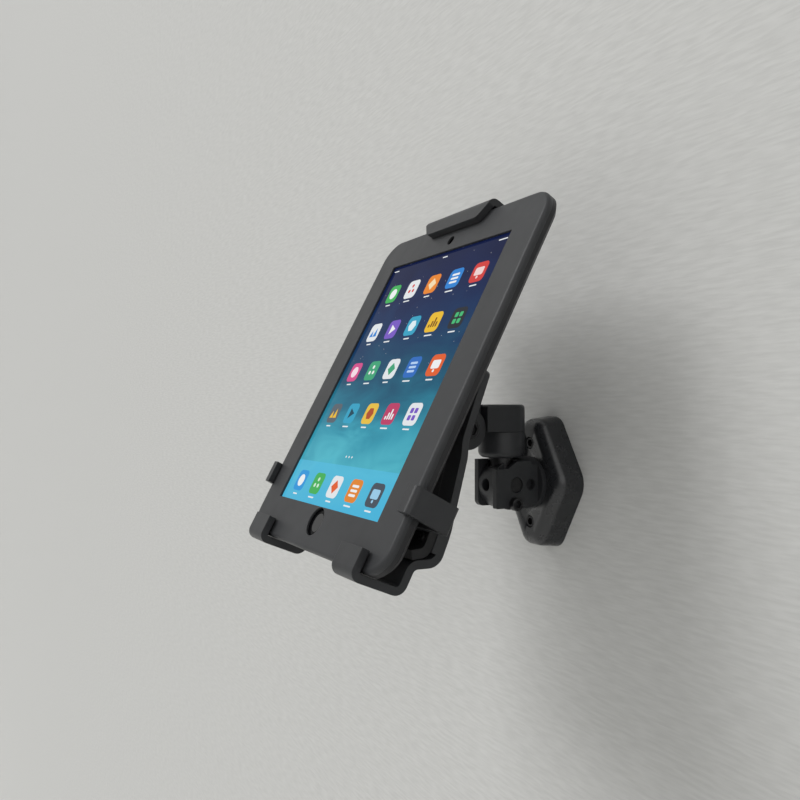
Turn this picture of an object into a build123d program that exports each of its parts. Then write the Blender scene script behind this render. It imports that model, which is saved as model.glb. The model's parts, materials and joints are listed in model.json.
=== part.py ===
from build123d import *
from math import cos, radians, sin
import os

os.makedirs("parts", exist_ok=True)

# Wall mount for a tablet: a cast bracket on the wall, a knuckle that pans and tilts, and a bowed
# cradle with hooks that holds a tablet in its protective case. Sizes are in millimetres.
# X runs to the right for someone facing the wall, Y runs into the wall and Z runs up.
# The origin is the centre of the wall bracket's back face.

# Wall bracket
bracket_height = 98
bracket_half_width = 37.7
bracket_flat = 22  # length of the straight top and bottom edges
bracket_depth = 21.2
bracket_side_radius = 14
bracket_end_radius = 6
bracket_draft = 7  # degrees
bracket_edge_radius = 4
bracket_wall = 4
bracket_face = 5  # thickness left between the back pockets and the front face
bracket_rib = 3
wall_screw_pitch = 58.5
wall_screw_radius = 2.5
wall_screw_neck = 0.25  # how much thicker the screw is inside the bracket
wall_screw_head_radius = 4.2
wall_screw_head_height = 4.5
wall_screw_grip = 18  # length that goes into the wall
counterbore_radius = 4.7
counterbore_depth = 5
screw_boss_radius = 8
screw_clearance = 0.3

# Fork that stands out of the bracket
fork_radius = 19.2
fork_foot = 3.5  # round foot before the flats start
fork_root = 21
cheek_inner = 8.8
cheek_thickness = 4.4
cheek_front = 40.6  # from the bracket's face to the cheeks' front edge
cheek_bottom = 16.2
near_cheek_step = 11.9  # height of the near cheek's lowered front
near_cheek_top = 16.9
near_step_length = 10.5
near_ramp_length = 8
far_cheek_top = 18.5
far_corner_radius = 4.5
near_corner_radius = 1
spigot_radius = 10
spigot_length = 8
fork_screw_pitch = 29
fork_screw_radius = 2
fork_screw_head_radius = 3.5
fork_screw_head_height = 4
fork_screw_bite = 8
fork_screw_sink = 1
side_hole_radius = 4
side_hole_depth = 12
side_hole_from_face = 9.5

# Round knuckle between the cheeks, with its cross pin and lock screw
knuckle_radius = 18
knuckle_from_face = 22.5
running_gap = 0.2
front_hole_radius = 4.5
front_hole_depth = 9
cross_pin_radius = 4
cross_pin_head_radius = 5.4
cross_pin_head_height = 1.2
cross_pin_recess = 2
lock_screw_head_radius = 4.7
lock_screw_head_height = 4.6
lock_screw_radius = 2.5
lock_screw_bite = 5
lock_screw_drop = 13.5
lock_screw_ahead = 2.2

# Pan pivot
pan_ahead = 3.7  # pan axis in front of the knuckle's centre
stud_radius = 3.65
stud_bottom = 5.6
stud_clearance = 0.1
washer_seat = 11.5
washer_radius = 9.3
washer_thickness = 1.8
spring_washer_radius = 8
barrel_radius = 16.9
barrel_bottom = 19.5
barrel_top = 38.4
barrel_edge_radius = 4.5
block_height = 19.4
block_edge_radius = 2.5
stud_cover = 6  # metal left over the stud
set_screw_radius = 2.6
set_screw_out = 13.2
set_screw_ahead = 6.7
set_screw_sink = 1
set_screw_socket = 2

# Tilt hinge
tilt_ahead = 39.6  # tilt axis in front of the pan axis
tilt_height = 40.8
tongue_radius = 14.3
tongue_half_width = 8.7
tongue_root = 3  # how far the tongue starts inside the block
tongue_root_width = 2
ear_radius = 14.5
ear_thickness = 6
ear_gap = 0.3
tilt_pin_radius = 4
tilt_head_radius = 6.5
tilt_head_height = 4
lean = 28.55  # degrees that the screen leans back

# Cradle: across runs along the tablet's width, along runs up its screen, and out runs away from
# the glass. Heights along and out are counted from the centre of the screen window.
hub_along = -6.6
hub_out = -67.3
hub_plate_radius = 24
hub_plate_thickness = 5.5
friction_disc_radius = 22
friction_disc_thickness = 4
hub_bolt_radius = 4
hub_bolt_head_radius = 8
hub_bolt_head_height = 3
hub_nut_radius = 6.5
hub_nut_height = 4.3
sheet = 5  # thickness of the bent plates
frame_out = -34.8  # middle of the frame's plate at the hub
frame_back = -41.9  # middle of the frame's plate at the side clips
hook_lip_out = 4
hook_drop = 3.8  # from the case's lower edge to the middle of the hooks' plate
ledge_rise = 2.9  # the ledge rises a little towards the back
hook_lip_lift = 12  # heights with the word lift are counted up from the case's lower edge
hook_width = 25.2
hook_inset = 17.6  # from the case's side to the hook's outer side
hook_lip_inset = 5  # how much each side of a lip tapers in
hook_back_out = -26.9
hook_back_lift = 15.5
hook_corner = 5
hook_bend = 3.6
ledge_bend = 5
wall_bend = 6
back_bend = 9
bow_bend = 30
rise_bend = 20
yoke_lift = 23  # lower edge of the cross piece between the hooks
yoke_height = 30
yoke_bend_lift = 43
yoke_corner = 8
frame_side_lift = 37
frame_step = 2.6  # the frame is this much narrower than the hooks, on each side
frame_narrowing = 20.8  # on each side, from its lower to its upper end
frame_above_hub = 26.6
frame_rise_below_hub = 33.4
frame_rise = 10
frame_rise_out = -37.6
frame_rail = 15
frame_spine = 26
frame_window_above_hub = 2.6
frame_window_corner = 6
rim_lift = 27
rim_width = 8

# Rail, guides and clips that hold the case from the sides
rail_thickness = 5.6
rail_bend_radius = 8
rail_out = -33.2  # middle of the rail's plate
rail_lift = 51
rail_inset = 0.5
rail_lip_lift = 20.5
rail_lip_out = -24.5
rail_bend_lift = 25.5
rail_tab_lift = 57.5
rail_tab_width = 16
rail_screw_low_lift = 33
rail_screw_high_lift = 42
rail_screw_inset = 5
rail_screw_middle = 14
rail_screw_radius = 1.5
rail_screw_head_radius = 2.5
rail_boss_radius = 4.5
rail_screw_head_height = 1.6
clip_width = 16
clip_lift = 36
clip_sheet = 5
clip_arm_end = 30
clip_shoe_reach = 14  # how far the thin end of the clip's arm reaches past its guide
clip_shoe_ramp = 4
clip_arm_out = -26.5
clip_arm_thickness = 4.5
clip_lip_out = 4.6
clip_lip_thickness = 4.2
clip_lip_reach = 4
clip_play = 0.4
clip_outer_corner = 3.6
clip_inner_corner = 1.2
guide_inset = 17  # from the outer rail screws to the middle of the guides
guide_width = 12
guide_sheet = 3
guide_foot = 4
slide_gap = 0.3

# Sliding top hook
leg_below_hub = 18.1
leg_inside_slot = 13  # from the slot to the leg's inner side
leg_above_hub = 28.6
legs_join = 40.6  # height above the hub where the two legs join
leg_outside_slot = 15  # from the slot to the leg's outer side
hook_plate_high = 39
top_slope_drop = 21.4  # heights with the word drop are counted down from the case's upper edge
top_back_out = -14
top_rise = 3.6  # from the case's upper edge to the middle of the hook's plate
top_lip_out = 2.8
top_lip_drop = 9.9
top_lip_half = 31
legs_corner = 14
leg_bend = 20
fold_bend = 5
lip_bend = 3.6
slot_width = 6.4
slot_below_hub = 10.4
slot_length = 26
slot_inset = 10.2  # from the frame's side at its top to the slot
slider_screw_radius = 3
slider_head_radius = 5.5
slider_head_height = 2.6

# Tablet and its case
case_side = 15.25  # rim beside the tablet
case_above = 6
case_below = 6
case_corner = 18
case_front_depth = 4.2
case_back_depth = 6.3
case_wall = 2.2
case_lip = 1.6
case_edge_radius = 2.6
case_back_chamfer = 3.2
window_width = 148
window_height = 197
tablet_side = 10.75  # from the window's edge to the tablet's edge
tablet_above = 20.7
tablet_below = 22.3
tablet_corner = 12
tablet_depth = 6.1
tablet_edge_radius = 2
glass_thickness = 0.9
tablet_play = 0.2
button_below = 10  # from the window's edge to the middle of the button
button_radius = 6.5
button_well_radius = 9.5
button_height = 1.5
button_edge_radius = 0.3
button_well_depth = 1.4  # below the glass
lens_above = 9
lens_radius = 1.7
lens_hole_radius = 3.5
pad_thickness = 1.1
pad_inset = 3
top_pad_half = 33
top_pad_low = -8.5
top_pad_high = -1

# Places worked out from the sizes above
bracket_front = Plane.XZ.offset(bracket_depth)
knuckle_y = -(bracket_depth + knuckle_from_face)
pan_y = knuckle_y - pan_ahead
tilt_y = pan_y - tilt_ahead
cheek_outer = cheek_inner + cheek_thickness
knuckle_half_width = cheek_inner - running_gap
block_top = barrel_top + block_height
block_front = tilt_ahead - ear_radius - ear_gap  # from the pan axis to the block's shoulders
out_direction = Vector(0, -cos(radians(lean)), sin(radians(lean)))
along_direction = Vector(0, sin(radians(lean)), cos(radians(lean)))
window_centre = Vector(0, tilt_y, tilt_height) - along_direction * hub_along - out_direction * hub_out
cradle = Plane(origin=window_centre, x_dir=(1, 0, 0), z_dir=out_direction)
out_axis = Axis(window_centre, out_direction)
tablet_width = window_width + 2 * tablet_side
tablet_top = window_height / 2 + tablet_above
tablet_bottom = -window_height / 2 - tablet_below
tablet_height = tablet_top - tablet_bottom
tablet_middle = (tablet_top + tablet_bottom) / 2
case_half_width = tablet_width / 2 + tablet_play + case_side
case_top = tablet_top + tablet_play + case_above
case_bottom = tablet_bottom - tablet_play - case_below
case_height = case_top - case_bottom
case_middle = (case_top + case_bottom) / 2
button_along = -window_height / 2 - button_below
lens_along = window_height / 2 + lens_above
hook_outer = case_half_width - hook_inset
hook_inner = hook_outer - hook_width
frame_side_low = hook_outer - frame_step
frame_side_high = frame_side_low - frame_narrowing
hook_bottom = case_bottom - hook_drop
hook_back_bottom = hook_bottom + ledge_rise
hook_top = case_bottom + hook_lip_lift
hook_back_top = case_bottom + hook_back_lift
yoke_low = case_bottom + yoke_lift
yoke_high = yoke_low + yoke_height
yoke_bend = case_bottom + yoke_bend_lift
frame_side_along = case_bottom + frame_side_lift
rim_low = case_bottom + rim_lift
frame_top = hub_along + frame_above_hub
frame_rise_low = hub_along - frame_rise_below_hub
frame_rise_high = frame_rise_low + frame_rise
frame_window_top = hub_along + frame_window_above_hub
rail_top = case_bottom + rail_lift
rail_lip_low = case_bottom + rail_lip_lift
rail_bend = case_bottom + rail_bend_lift
rail_tab_top = case_bottom + rail_tab_lift
rail_screw_low = case_bottom + rail_screw_low_lift
rail_screw_high = case_bottom + rail_screw_high_lift
clip_low = case_bottom + clip_lift
leg_bottom = hub_along - leg_below_hub
leg_top = hub_along + leg_above_hub
fork_of_legs = hub_along + legs_join
slot_low = hub_along - slot_below_hub
slot_high = slot_low + slot_length
top_slope_end = case_top - top_slope_drop
top_bend = case_top + top_rise
top_lip_bottom = case_top - top_lip_drop
guide_across = frame_side_low - rail_screw_inset - guide_inset
clip_shoe_end = guide_across + clip_shoe_reach
slot_across = frame_side_high - slot_inset
leg_inner = slot_across - leg_inside_slot
hook_plate_low = slot_across + leg_outside_slot
frame_inner_face = frame_out + sheet / 2
frame_outer_face = frame_out - sheet / 2
leg_out = frame_inner_face + slide_gap + sheet / 2
clip_middle = clip_low + clip_width / 2


# A plane across the tablet's width, with along as its first axis and out as its second
def side_plane(across):
    return Plane(origin=cradle.from_local_coords((across, 0, 0)), x_dir=along_direction, z_dir=(1, 0, 0))


# A plane parallel to the screen, with across as its first axis and along as its second
def screen_plane(out):
    return cradle.offset(out)


# Hexagonal outline of the wall bracket, with rounded corners
def bracket_outline():
    half_height = bracket_height / 2
    half_flat = bracket_flat / 2
    with BuildSketch() as outline:
        with BuildLine():
            Polyline(
                (half_flat, half_height), (bracket_half_width, 0), (half_flat, -half_height),
                (-half_flat, -half_height), (-bracket_half_width, 0), (-half_flat, half_height), close=True
            )
        make_face()
        fillet(outline.vertices().group_by(Axis.Y)[0], bracket_end_radius)
        fillet(outline.vertices().group_by(Axis.Y)[-1], bracket_end_radius)
        fillet(outline.vertices().sort_by(Axis.X)[0], bracket_side_radius)
        fillet(outline.vertices().sort_by(Axis.X)[-1], bracket_side_radius)
    return outline.sketch


# Socket-head cap screw: the head stands on the seat plane and the shank goes the other way
def cap_screw(seat, head_radius, head_height, shank_radius, shank_length, socket):
    with BuildPart() as screw:
        with BuildSketch(seat):
            Circle(head_radius)
        extrude(amount=head_height)
        chamfer(screw.faces().sort_by(Axis(seat.origin, seat.z_dir))[-1].edges(), head_radius / 12)
        with BuildSketch(seat):
            Circle(shank_radius)
        extrude(amount=-shank_length)
        with BuildSketch(seat.offset(head_height)):
            RegularPolygon(socket, 6, major_radius=False)
        extrude(amount=-head_height * 0.6, mode=Mode.SUBTRACT)
    return screw.part


# Plate bent along a path of along and out heights, as a face on the side plane
def bent_profile(points, radii, thickness):
    with BuildSketch() as profile:
        with BuildLine():
            FilletPolyline(*points, radius=radii)
        trace(line_width=thickness)
    return profile.sketch


def save(piece, name):
    piece.part.label = name
    export_step(piece.part, f"parts/{name}.step")


# Wall bracket with pockets and ribs in its back
with BuildPart() as wall_bracket:
    with BuildSketch(Plane.XZ):
        add(bracket_outline())
    extrude(amount=bracket_depth, taper=bracket_draft)
    fillet(wall_bracket.faces().sort_by(Axis.Y)[0].edges(), bracket_edge_radius)
    with BuildSketch(Plane.XZ):
        add(bracket_outline())
        offset(amount=-bracket_wall)
        with GridLocations(1, wall_screw_pitch, 1, 2):
            Circle(screw_boss_radius, mode=Mode.SUBTRACT)
        Circle(fork_radius, mode=Mode.SUBTRACT)
        Rectangle(bracket_rib, bracket_height, mode=Mode.SUBTRACT)
        Rectangle(2 * bracket_half_width, bracket_rib, mode=Mode.SUBTRACT)
    extrude(amount=bracket_depth - bracket_face, taper=bracket_draft, mode=Mode.SUBTRACT)
    with Locations(bracket_front):
        with GridLocations(1, wall_screw_pitch, 1, 2):
            CounterBoreHole(
                wall_screw_radius + wall_screw_neck + screw_clearance, counterbore_radius, counterbore_depth
            )
        Hole(spigot_radius, spigot_length + running_gap)
    with Locations(Plane.XZ.rotated((0, 180, 0))):
        with GridLocations(1, fork_screw_pitch, 1, 2):
            CounterBoreHole(
                fork_screw_radius + screw_clearance,
                fork_screw_head_radius + screw_clearance,
                fork_screw_head_height + fork_screw_sink,
            )
save(wall_bracket, "wall_bracket")

# Fork: a round foot, a root with two flats and two unequal cheeks
with BuildPart() as wall_fork:
    with BuildSketch(bracket_front):
        Circle(fork_radius)
    extrude(amount=fork_foot)
    with BuildSketch(bracket_front):
        Circle(fork_radius)
        Rectangle(2 * cheek_outer, 2 * fork_radius, mode=Mode.INTERSECT)
    extrude(amount=fork_root)
    cheek_front_y = -(bracket_depth + cheek_front)
    cheek_rear_y = -(bracket_depth + fork_foot)
    step_y = cheek_front_y + near_step_length
    cheek_shapes = [
        (cheek_inner, near_cheek_step, near_cheek_top, near_corner_radius),
        (-cheek_outer, far_cheek_top - 0.5, far_cheek_top, far_corner_radius),
    ]
    for cheek_x, front_top, rear_top, corner in cheek_shapes:
        with BuildSketch(Plane.YZ.offset(cheek_x)) as cheek:
            with BuildLine():
                Polyline(
                    (cheek_front_y, -cheek_bottom), (cheek_front_y, front_top), (step_y, front_top),
                    (step_y + near_ramp_length, rear_top), (pan_y + barrel_radius, rear_top),
                    (cheek_rear_y, 0), (pan_y + barrel_radius, -cheek_bottom), close=True
                )
            make_face()
            fillet(cheek.vertices().group_by(Axis.X)[0].sort_by(Axis.Y)[0], corner)
        extrude(amount=cheek_thickness)
    with BuildSketch(Plane.YZ):
        with Locations((knuckle_y, 0)):
            Circle(knuckle_radius + running_gap)
    extrude(amount=cheek_inner, both=True, mode=Mode.SUBTRACT)
    with BuildSketch(Plane.YZ):
        with Locations((knuckle_y, 0)):
            Circle(cross_pin_radius)
    extrude(amount=cheek_outer, both=True, mode=Mode.SUBTRACT)
    with BuildSketch(Plane.YZ.offset(cheek_outer)):
        with Locations((knuckle_y, 0)):
            Circle(cross_pin_head_radius + running_gap)
    extrude(amount=-cross_pin_recess, mode=Mode.SUBTRACT)
    with BuildSketch(Plane.XY.offset(washer_seat)):
        with Locations((0, pan_y)):
            Circle(washer_radius + running_gap)
    extrude(amount=fork_radius, mode=Mode.SUBTRACT)
    with Locations(Plane.YZ.offset(cheek_outer)):
        with Locations((-(bracket_depth + side_hole_from_face), 0)):
            Hole(side_hole_radius, side_hole_depth)
        with Locations((knuckle_y - lock_screw_ahead, -lock_screw_drop)):
            Hole(lock_screw_radius, cheek_thickness)
    with BuildSketch(bracket_front):
        Circle(spigot_radius)
    extrude(amount=-spigot_length)
    with Locations(Plane(origin=bracket_front.origin, x_dir=(1, 0, 0), z_dir=(0, 1, 0))):
        with GridLocations(1, fork_screw_pitch, 1, 2):
            Hole(fork_screw_radius, fork_screw_bite)
save(wall_fork, "wall_fork")

# Round knuckle with a flat on top for the washers and a blind hole in front
with BuildPart() as knuckle:
    with BuildSketch(Plane.YZ):
        with Locations((knuckle_y, 0)):
            Circle(knuckle_radius)
    extrude(amount=knuckle_half_width, both=True)
    with BuildSketch(Plane.XY.offset(washer_seat)):
        with Locations((0, pan_y)):
            Circle(washer_radius + running_gap)
    extrude(amount=knuckle_radius, mode=Mode.SUBTRACT)
    with Locations(Location((0, pan_y, washer_seat))):
        Hole(stud_radius, washer_seat - stud_bottom)
    with Locations(Plane.XZ.offset(-(knuckle_y - knuckle_radius))):
        Hole(front_hole_radius, front_hole_depth)
    with Locations(Plane.YZ.offset(knuckle_half_width)):
        with Locations((knuckle_y, 0)):
            Hole(cross_pin_radius)
        with Locations((knuckle_y - lock_screw_ahead, -lock_screw_drop)):
            Hole(lock_screw_radius, lock_screw_bite)
save(knuckle, "knuckle")

# Cross pin with a low head that sits below the near cheek's face
with BuildPart() as cross_pin:
    head_x = cheek_outer - cross_pin_recess
    with BuildSketch(Plane.YZ.offset(head_x)):
        with Locations((knuckle_y, 0)):
            Circle(cross_pin_head_radius)
    extrude(amount=cross_pin_head_height)
    with BuildSketch(Plane.YZ.offset(head_x)):
        with Locations((knuckle_y, 0)):
            Circle(cross_pin_radius)
    extrude(amount=-(head_x + cheek_outer))
    chamfer(cross_pin.edges().group_by(Axis.X)[0], 0.5)
    chamfer(cross_pin.edges().group_by(Axis.X)[-1], 0.4)
save(cross_pin, "cross_pin")

lock_seat = Plane(
    origin=(cheek_outer, knuckle_y - lock_screw_ahead, -lock_screw_drop), x_dir=(0, 1, 0), z_dir=(1, 0, 0)
)
with BuildPart() as lock_screw:
    add(
        cap_screw(
            lock_seat, lock_screw_head_radius, lock_screw_head_height, lock_screw_radius,
            cheek_thickness + running_gap + lock_screw_bite, lock_screw_radius
        )
    )
save(lock_screw, "lock_screw")

# Screws from the bracket's front into the wall: a plain neck in the bracket, then the thread
neck_length = bracket_depth - counterbore_depth
with BuildPart() as wall_screws:
    for height in (-wall_screw_pitch / 2, wall_screw_pitch / 2):
        seat = Plane(origin=(0, -neck_length, height), x_dir=(1, 0, 0), z_dir=(0, -1, 0))
        add(
            cap_screw(
                seat, wall_screw_head_radius, wall_screw_head_height, wall_screw_radius + wall_screw_neck,
                neck_length, wall_screw_radius
            )
        )
    with BuildSketch(Plane.XZ):
        with GridLocations(1, wall_screw_pitch, 1, 2):
            Circle(wall_screw_radius)
    extrude(amount=-wall_screw_grip)
save(wall_screws, "wall_screws")

# Screws from the bracket's back into the fork's foot
with BuildPart() as fork_screws:
    for height in (-fork_screw_pitch / 2, fork_screw_pitch / 2):
        seat = Plane(
            origin=(0, -fork_screw_head_height - fork_screw_sink, height), x_dir=(1, 0, 0), z_dir=(0, 1, 0)
        )
        add(
            cap_screw(
                seat, fork_screw_head_radius, fork_screw_head_height, fork_screw_radius,
                bracket_depth - fork_screw_head_height - fork_screw_sink + fork_screw_bite, fork_screw_radius
            )
        )
save(fork_screws, "fork_screws")

# Washers on the stud, between the knuckle and the barrel
washer_stack = [
    (washer_radius, washer_thickness),
    (spring_washer_radius, barrel_bottom - washer_seat - 2 * washer_thickness - running_gap),
    (washer_radius, washer_thickness),
]
with BuildPart() as friction_washers:
    washer_bottom = washer_seat
    for radius, thickness in washer_stack:
        with BuildSketch(Plane.XY.offset(washer_bottom)):
            with Locations((0, pan_y)):
                Circle(radius)
                Circle(stud_radius + running_gap, mode=Mode.SUBTRACT)
        extrude(amount=thickness)
        washer_bottom += thickness
save(friction_washers, "friction_washers")

# Stud that the arm pans on
with BuildPart() as pan_stud:
    with BuildSketch(Plane.XY.offset(stud_bottom)):
        with Locations((0, pan_y)):
            Circle(stud_radius)
    extrude(amount=block_top - stud_cover - stud_bottom)
    chamfer(pan_stud.edges().group_by(Axis.Z)[-1], 0.8)
save(pan_stud, "pan_stud")

# Lower barrel of the arm, rounded underneath
with BuildPart() as arm_barrel:
    with BuildSketch(Plane.XY.offset(barrel_bottom)):
        with Locations((0, pan_y)):
            Circle(barrel_radius)
    extrude(amount=barrel_top - barrel_bottom)
    fillet(arm_barrel.edges().group_by(Axis.Z)[0], barrel_edge_radius)
    chamfer(arm_barrel.edges().group_by(Axis.Z)[-1], 0.4)
    with Locations((0, pan_y, barrel_bottom)):
        Hole(stud_radius + stud_clearance)
save(arm_barrel, "arm_barrel")

# Arm block: round over the barrel, with a tongue that carries the tilt pin
with BuildPart() as arm_block:
    with BuildSketch(Plane.XY.offset(barrel_top)) as block_plan:
        with Locations((0, pan_y)):
            Circle(barrel_radius)
        with Locations((0, pan_y - block_front / 2)):
            Rectangle(2 * barrel_radius, block_front)
    extrude(amount=block_height)
    fillet(arm_block.edges().group_by(Axis.Z)[-1], block_edge_radius)
    with BuildSketch(Plane.YZ) as tongue:
        with Locations((tilt_y, tilt_height)):
            Circle(tongue_radius)
        with Locations((pan_y - block_front + tongue_root, barrel_top + block_height / 2)):
            Rectangle(tongue_root_width, block_height)
        make_hull(tongue.edges())
    extrude(amount=tongue_half_width, both=True)
    with BuildSketch(Plane.YZ):
        with Locations((tilt_y, tilt_height)):
            Circle(tilt_pin_radius + stud_clearance)
    extrude(amount=tongue_half_width, both=True, mode=Mode.SUBTRACT)
    with BuildSketch(Plane.XY.offset(barrel_top)):
        with Locations((0, pan_y)):
            Circle(stud_radius + stud_clearance)
    extrude(amount=block_height - stud_cover + stud_clearance, mode=Mode.SUBTRACT)
    with Locations((set_screw_out, pan_y - set_screw_ahead, block_top)):
        Hole(set_screw_radius, stud_cover)
save(arm_block, "arm_block")

with BuildPart() as set_screw:
    seat = Plane(origin=(set_screw_out, pan_y - set_screw_ahead, block_top - set_screw_sink))
    with BuildSketch(seat):
        Circle(set_screw_radius)
    extrude(amount=set_screw_sink - stud_cover)
    with BuildSketch(seat):
        RegularPolygon(set_screw_radius / 2, 6, major_radius=False)
    extrude(amount=-set_screw_socket, mode=Mode.SUBTRACT)
save(set_screw, "set_screw")

# Tilt bracket: two ears on a round plate
ear_inner = tongue_half_width + ear_gap
ear_outer = ear_inner + ear_thickness
plate_out = frame_outer_face - slide_gap - friction_disc_thickness - hub_plate_thickness
with BuildPart() as tilt_bracket:
    for ear_across in (ear_inner, -ear_outer):
        with BuildSketch(side_plane(ear_across)):
            with Locations((hub_along, hub_out)):
                Circle(ear_radius)
            with Locations((hub_along, (hub_out + plate_out) / 2)):
                Rectangle(2 * ear_radius, plate_out - hub_out)
        extrude(amount=ear_thickness)
    with BuildSketch(screen_plane(plate_out)):
        with Locations((0, hub_along)):
            Circle(hub_plate_radius)
    extrude(amount=hub_plate_thickness)
    with BuildSketch(screen_plane(plate_out)):
        with Locations((0, hub_along)):
            Circle(hub_bolt_radius)
    extrude(amount=hub_plate_thickness, mode=Mode.SUBTRACT)
    with BuildSketch(side_plane(0)):
        with Locations((hub_along, hub_out)):
            Circle(tilt_pin_radius)
    extrude(amount=ear_outer, both=True, mode=Mode.SUBTRACT)
save(tilt_bracket, "tilt_bracket")

tilt_seat = Plane(origin=(ear_outer, tilt_y, tilt_height), x_dir=(0, 1, 0), z_dir=(1, 0, 0))
with BuildPart() as tilt_bolt:
    add(
        cap_screw(
            tilt_seat, tilt_head_radius, tilt_head_height, tilt_pin_radius,
            2 * ear_outer + tilt_head_height, tilt_pin_radius
        )
    )
save(tilt_bolt, "tilt_bolt")

with BuildPart() as tilt_nut:
    with BuildSketch(Plane(origin=(-ear_outer, tilt_y, tilt_height), x_dir=(0, 1, 0), z_dir=(-1, 0, 0))):
        RegularPolygon(tilt_head_radius, 6, major_radius=False)
        Circle(tilt_pin_radius, mode=Mode.SUBTRACT)
    extrude(amount=tilt_head_height)
save(tilt_nut, "tilt_nut")

# Friction disc and bolt that the cradle turns on, between upright and lying pictures
with BuildPart() as friction_disc:
    with BuildSketch(screen_plane(plate_out + hub_plate_thickness)):
        with Locations((0, hub_along)):
            Circle(friction_disc_radius)
            Circle(hub_bolt_radius, mode=Mode.SUBTRACT)
    extrude(amount=friction_disc_thickness)
save(friction_disc, "friction_disc")

hub_seat = Plane(
    origin=cradle.from_local_coords((0, hub_along, frame_inner_face + slide_gap)),
    x_dir=(1, 0, 0),
    z_dir=out_direction,
)
hub_nut_out = plate_out - hub_nut_height
with BuildPart() as hub_bolt:
    add(
        cap_screw(
            hub_seat, hub_bolt_head_radius, hub_bolt_head_height, hub_bolt_radius,
            frame_inner_face + slide_gap - hub_nut_out, hub_bolt_radius
        )
    )
save(hub_bolt, "hub_bolt")

with BuildPart() as hub_nut:
    with BuildSketch(screen_plane(plate_out)):
        with Locations((0, hub_along)):
            RegularPolygon(hub_nut_radius, 6, major_radius=False)
            Circle(hub_bolt_radius, mode=Mode.SUBTRACT)
    extrude(amount=-hub_nut_height)
save(hub_nut, "hub_nut")


# A plane across the tablet, with across as its first axis and out as its second
def cross_plane(along):
    return Plane(origin=cradle.from_local_coords((0, along, 0)), x_dir=(1, 0, 0), z_dir=-along_direction)


# Half width of the frame at a height along the screen
def frame_edge(along):
    slope = (frame_side_high - frame_side_low) / (frame_top - frame_side_along)
    return frame_side_low + (along - frame_side_along) * slope


def frame_outline():
    with BuildSketch() as outline:
        with BuildLine():
            Polyline(
                (-hook_outer, hook_bottom - sheet), (hook_outer, hook_bottom - sheet),
                (hook_outer, hook_back_top), (frame_side_low, frame_side_along),
                (frame_side_high, frame_top), (-frame_side_high, frame_top),
                (-frame_side_low, frame_side_along), (-hook_outer, hook_back_top), close=True
            )
        make_face()
        fillet(outline.vertices().group_by(Axis.Y)[-1], frame_window_corner)
    return outline.sketch


# The windows' corners are as round as their narrow upper end allows
window_end = frame_edge(frame_window_top) - frame_rail - frame_spine
window_corner = min(frame_window_corner, 0.4 * window_end)

# Bowed frame: one bent plate with two hooks below, a cross piece, side rails and a spine
frame_path = [
    (hook_top, hook_lip_out), (hook_bottom, hook_lip_out), (hook_back_bottom, hook_back_out),
    (hook_back_top, hook_back_out), (yoke_low, frame_back), (yoke_bend, frame_back),
    (frame_rise_low, frame_rise_out), (frame_rise_high, frame_out), (frame_top, frame_out),
]
frame_bends = [hook_bend, ledge_bend, wall_bend, back_bend, bow_bend, rise_bend, rise_bend]
rail_outer_face = rail_out - rail_thickness / 2
rail_inner_face = rail_out + rail_thickness / 2
rail_screw_spots = [
    (side * across, along)
    for side in (-1, 1)
    for across, along in (
        (frame_side_low - rail_screw_inset, rail_screw_low), (rail_screw_middle, rail_screw_high)
    )
]
slider_along = slot_high - slot_width / 2 - running_gap
with BuildPart() as cradle_frame:
    with BuildSketch(side_plane(0)):
        add(bent_profile(frame_path, frame_bends, sheet))
    extrude(amount=hook_outer, both=True)
    with BuildSketch(screen_plane(frame_back - sheet)):
        add(frame_outline())
        with Locations((0, 2 * hook_bottom - yoke_low)):
            RectangleRounded(2 * hook_inner, 4 * (yoke_low - hook_bottom), yoke_corner, mode=Mode.SUBTRACT)
        for side in (-1, 1):
            with BuildSketch(mode=Mode.SUBTRACT) as window:
                with BuildLine():
                    Polyline(
                        (side * frame_spine, yoke_high),
                        (side * (frame_edge(yoke_high) - frame_rail), yoke_high),
                        (side * (frame_edge(frame_window_top) - frame_rail), frame_window_top),
                        (side * frame_spine, frame_window_top), close=True
                    )
                make_face()
                fillet(window.vertices(), window_corner)
        with Locations((0, hub_along)):
            Circle(hub_bolt_radius + stud_clearance, mode=Mode.SUBTRACT)
        with Locations((-slot_across, slider_along), (slot_across, slider_along)):
            Circle(slider_screw_radius, mode=Mode.SUBTRACT)
    extrude(amount=hook_lip_out + 2 * sheet - frame_back, mode=Mode.INTERSECT)
    with BuildSketch(screen_plane(0)):
        Rectangle(4 * hook_outer, -2 * hook_back_top)
        for side in (-1, 1):
            with BuildSketch(mode=Mode.SUBTRACT) as lip:
                with BuildLine():
                    Polyline(
                        (side * hook_inner, 2 * hook_bottom), (side * hook_inner, case_bottom),
                        (side * (hook_inner + hook_lip_inset), hook_top),
                        (side * (hook_outer - hook_lip_inset), hook_top),
                        (side * hook_outer, case_bottom), (side * hook_outer, 2 * hook_bottom), close=True
                    )
                make_face()
                fillet(lip.vertices().group_by(Axis.Y)[-1], hook_corner)
    extrude(amount=hook_lip_out + sheet, mode=Mode.SUBTRACT)
    with BuildSketch(screen_plane(frame_back)):
        add(frame_outline())
        with Locations((0, (rim_low + rail_top) / 2)):
            Rectangle(2 * hook_outer, rail_top - rim_low, mode=Mode.INTERSECT)
        Rectangle(2 * (frame_side_low - rim_width), -4 * rim_low, mode=Mode.SUBTRACT)
        with Locations((-rail_screw_middle, rail_screw_high), (rail_screw_middle, rail_screw_high)):
            Circle(rail_boss_radius)
    extrude(amount=rail_outer_face - frame_back)
    with Locations(screen_plane(rail_outer_face)):
        with Locations(*rail_screw_spots):
            Hole(rail_screw_radius)
save(cradle_frame, "cradle_frame")

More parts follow.
